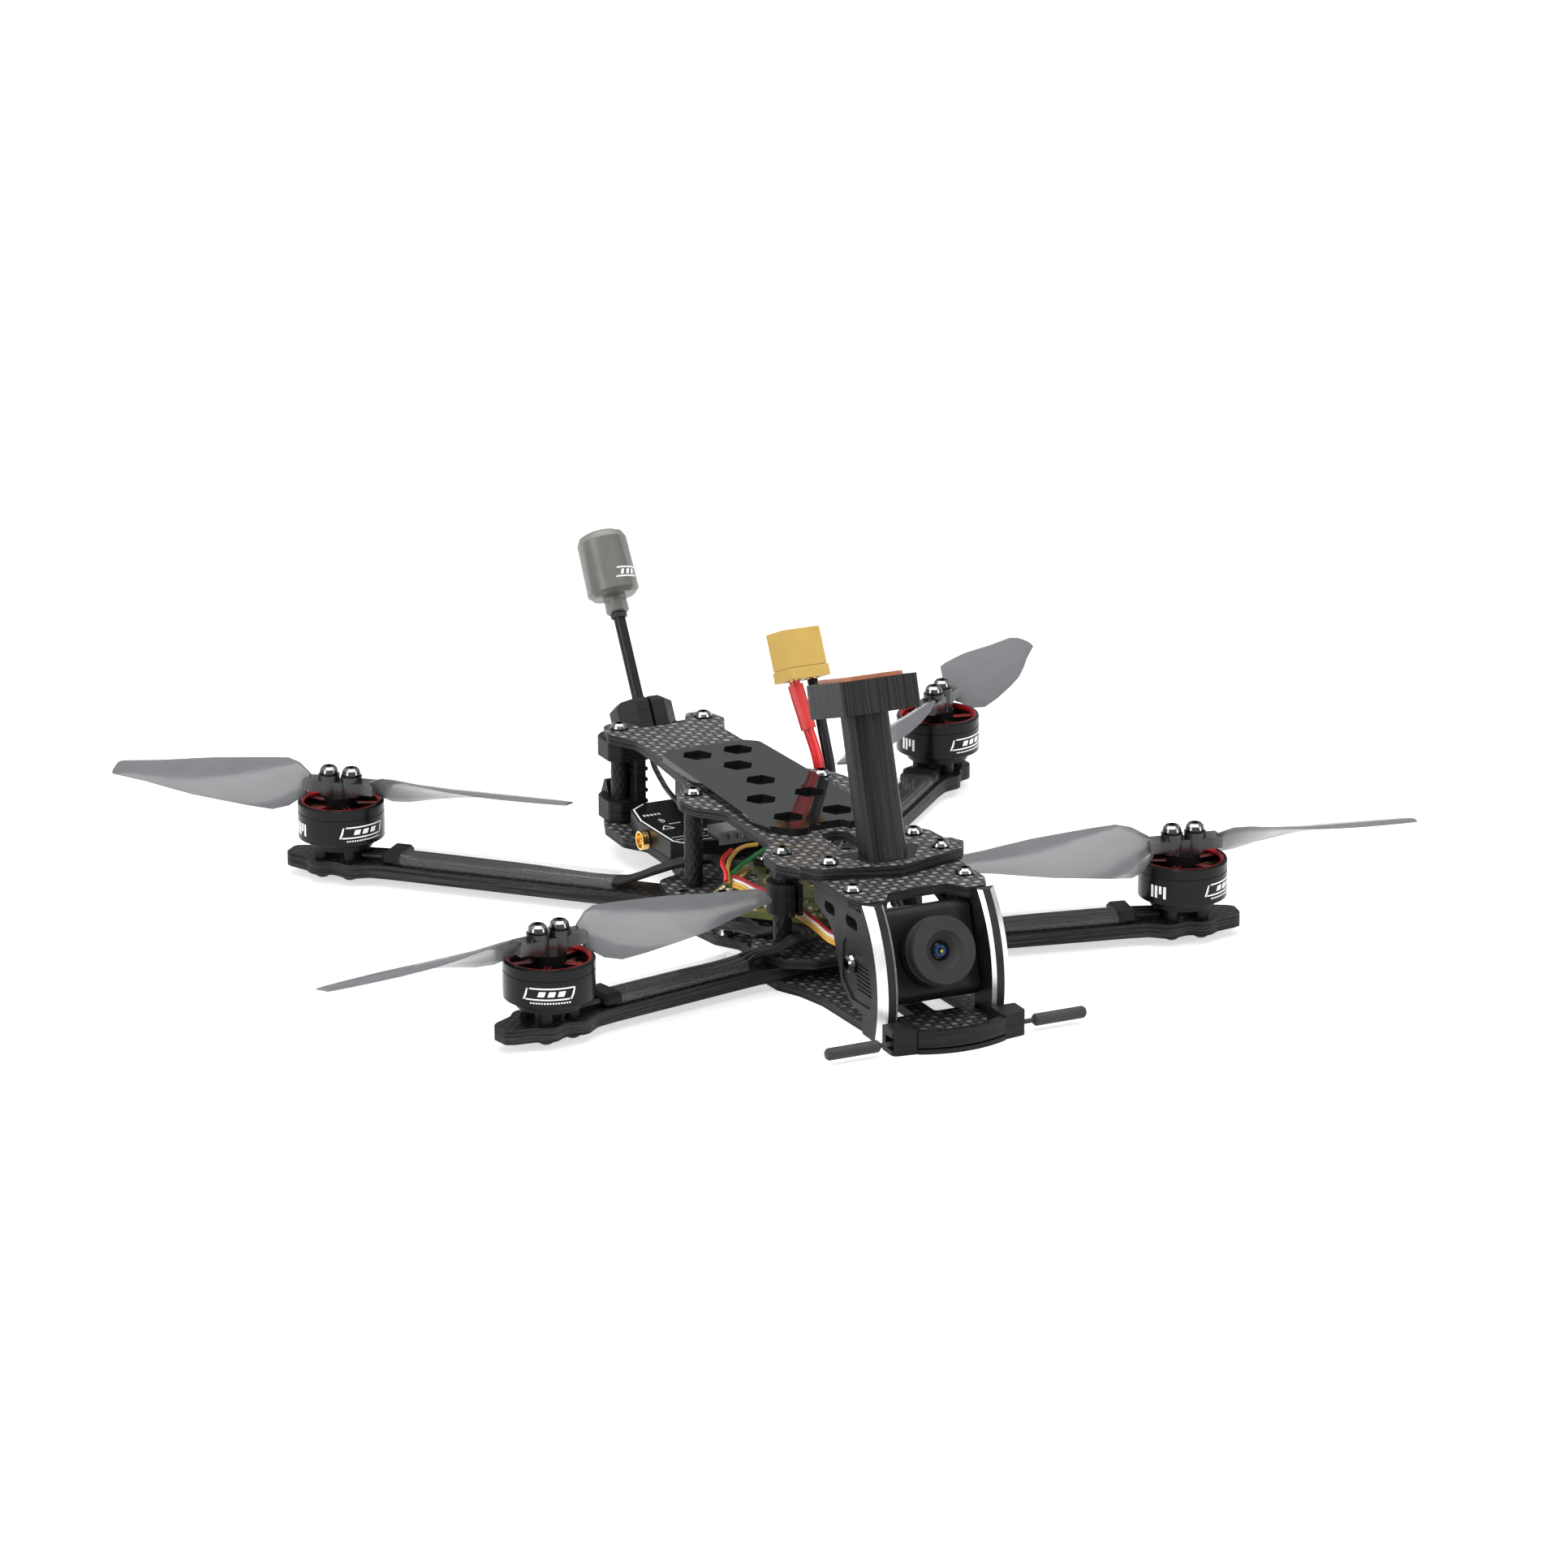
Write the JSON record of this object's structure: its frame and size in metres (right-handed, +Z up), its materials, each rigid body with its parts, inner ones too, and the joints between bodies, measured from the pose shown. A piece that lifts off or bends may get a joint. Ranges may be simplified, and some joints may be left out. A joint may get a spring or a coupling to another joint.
{
  "type": "quadcopter drone",
  "caption": "Long range quadcopter with carbon plate frame, turning rotors, tilting camera, leaning video antenna and mast-mounted position receiver.",
  "frame": {"origin": "on the flat underside of the frame, midway between the four motor axes", "axes": "+Z up, away from the underside; nose and camera towards -Y; the craft's own right side is towards -X"},
  "size_m": [0.2431, 0.1884, 0.066],
  "materials": {
    "carbon_plate": "woven carbon laminate, satin",
    "carbon_gloss": "smooth dark laminate, glossy",
    "black_metal": "black anodised, fine knurl",
    "bright_screw": "plated, bright",
    "black_print": "black printed plastic, satin with layer lines",
    "mast_print": "dark grey printed plastic with layer lines",
    "antenna_rod": "black jacket, satin",
    "smoke_cap": "translucent grey, satin",
    "gold_metal": "gold plated",
    "braided_lead": "black braid",
    "anodised_black": "black anodised, polished bevels",
    "copper_ceramic": "copper brown edge, pale ceramic top",
    "grey_rubber": "dark grey heat-shrink, satin",
    "olive_board": "olive laminate board",
    "soft_rubber": "black soft rubber, matte",
    "black_case": "black, fine blasted",
    "shield_tin": "tinned sheet, satin",
    "red_wire": "red silicone",
    "black_wire": "black silicone",
    "red_shrink": "red heat-shrink",
    "yellow_shell": "yellow moulded plastic",
    "colour_wire": "coloured wires, red, white, yellow and green",
    "clear_sleeve": "clear, glossy",
    "wound_core": "enamelled copper on laminated steel",
    "housing_black": "black moulded plastic, satin",
    "lens_black": "black, knurled ring",
    "lens_glass": "coated glass",
    "white_key": "pale moulded plastic",
    "bell_black": "black anodised with red edges",
    "shaft_steel": "ground steel and plated magnets",
    "prop_grey": "translucent smoke grey"
  },
  "bodies": {
    "frame": {"bottom_plate": "carbon_plate", "middle_plate": "carbon_plate", "top_plate": "carbon_plate", "arm_front_right": "carbon_plate", "arm_front_left": "carbon_plate", "arm_rear_right": "carbon_plate", "arm_rear_left": "carbon_plate", "standoffs": "black_metal", "screws": "bright_screw", "battery_pad": "carbon_gloss", "rear_antenna_mount": "black_print", "antenna_stem": "antenna_rod", "antenna_cap": "smoke_cap", "antenna_element": "gold_metal", "antenna_coax": "braided_lead", "side_plate_right": "anodised_black", "side_plate_left": "anodised_black", "gps_base_plate": "carbon_plate", "gps_mast": "mast_print", "gps_module": "copper_ceramic", "front_antenna_holder": "black_print", "receiver_antenna": "grey_rubber", "flight_controller": "olive_board", "fc_grommets": "soft_rubber", "vtx_case": "black_case", "vtx_heatsink": "black_case", "vtx_shield": "shield_tin", "vtx_socket": "gold_metal", "battery_lead_red": "red_wire", "battery_lead_black": "black_wire", "lead_heatshrink": "red_shrink", "power_connector": "yellow_shell", "signal_wires": "colour_wire", "motor_wires": "black_wire", "arm_sleeves": "clear_sleeve", "wire_clip": "black_print", "motor_bases": "black_metal", "motor_cores": "wound_core"},
    "camera": {"camera_housing": "housing_black", "lens_barrel": "lens_black", "lens_glass": "lens_glass", "camera_screws": "bright_screw"},
    "rotor_rr": {"bell_rr": "bell_black", "rotor_core_rr": "shaft_steel", "propeller_rr": "prop_grey", "prop_screws_rr": "bright_screw"},
    "rotor_fr": {"bell_fr": "bell_black", "rotor_core_fr": "shaft_steel", "propeller_fr": "prop_grey", "prop_screws_fr": "bright_screw"},
    "rotor_fl": {"bell_fl": "bell_black", "rotor_core_fl": "shaft_steel", "propeller_fl": "prop_grey", "prop_screws_fl": "bright_screw"},
    "rotor_rl": {"bell_rl": "bell_black", "rotor_core_rl": "shaft_steel", "propeller_rl": "prop_grey", "prop_screws_rl": "bright_screw"},
    "boot_key": {"boot_button": "white_key"},
    "vtx_key": {"vtx_button": "white_key"}
  },
  "joints": [
    {"name": "camera_tilt", "type": "hinge", "parent": "frame", "child": "camera", "pos_m": [0, -0.0752, 0.0133], "axis": [-1, 0, 0], "range_deg": [-20, 15]},
    {"name": "spin_rr", "type": "hinge", "parent": "frame", "child": "rotor_rr", "pos_m": [-0.07095, 0.0558, 0.0169], "axis": [0, 0, 1], "continuous": true},
    {"name": "spin_fr", "type": "hinge", "parent": "frame", "child": "rotor_fr", "pos_m": [-0.07095, -0.0558, 0.0169], "axis": [0, 0, 1], "continuous": true},
    {"name": "spin_fl", "type": "hinge", "parent": "frame", "child": "rotor_fl", "pos_m": [0.07095, -0.0558, 0.0169], "axis": [0, 0, 1], "continuous": true},
    {"name": "spin_rl", "type": "hinge", "parent": "frame", "child": "rotor_rl", "pos_m": [0.07095, 0.0558, 0.0169], "axis": [0, 0, 1], "continuous": true},
    {"name": "boot_press", "type": "slide", "parent": "frame", "child": "boot_key", "axis": [0, 0, -1], "range_m": [0, 0.00025], "stiffness_N_per_m": 2000, "springref_m": -0.0001},
    {"name": "vtx_press", "type": "slide", "parent": "frame", "child": "vtx_key", "axis": [-1, 0, 0], "range_m": [0, 0.0003], "stiffness_N_per_m": 2000, "springref_m": -0.0001}
  ]
}
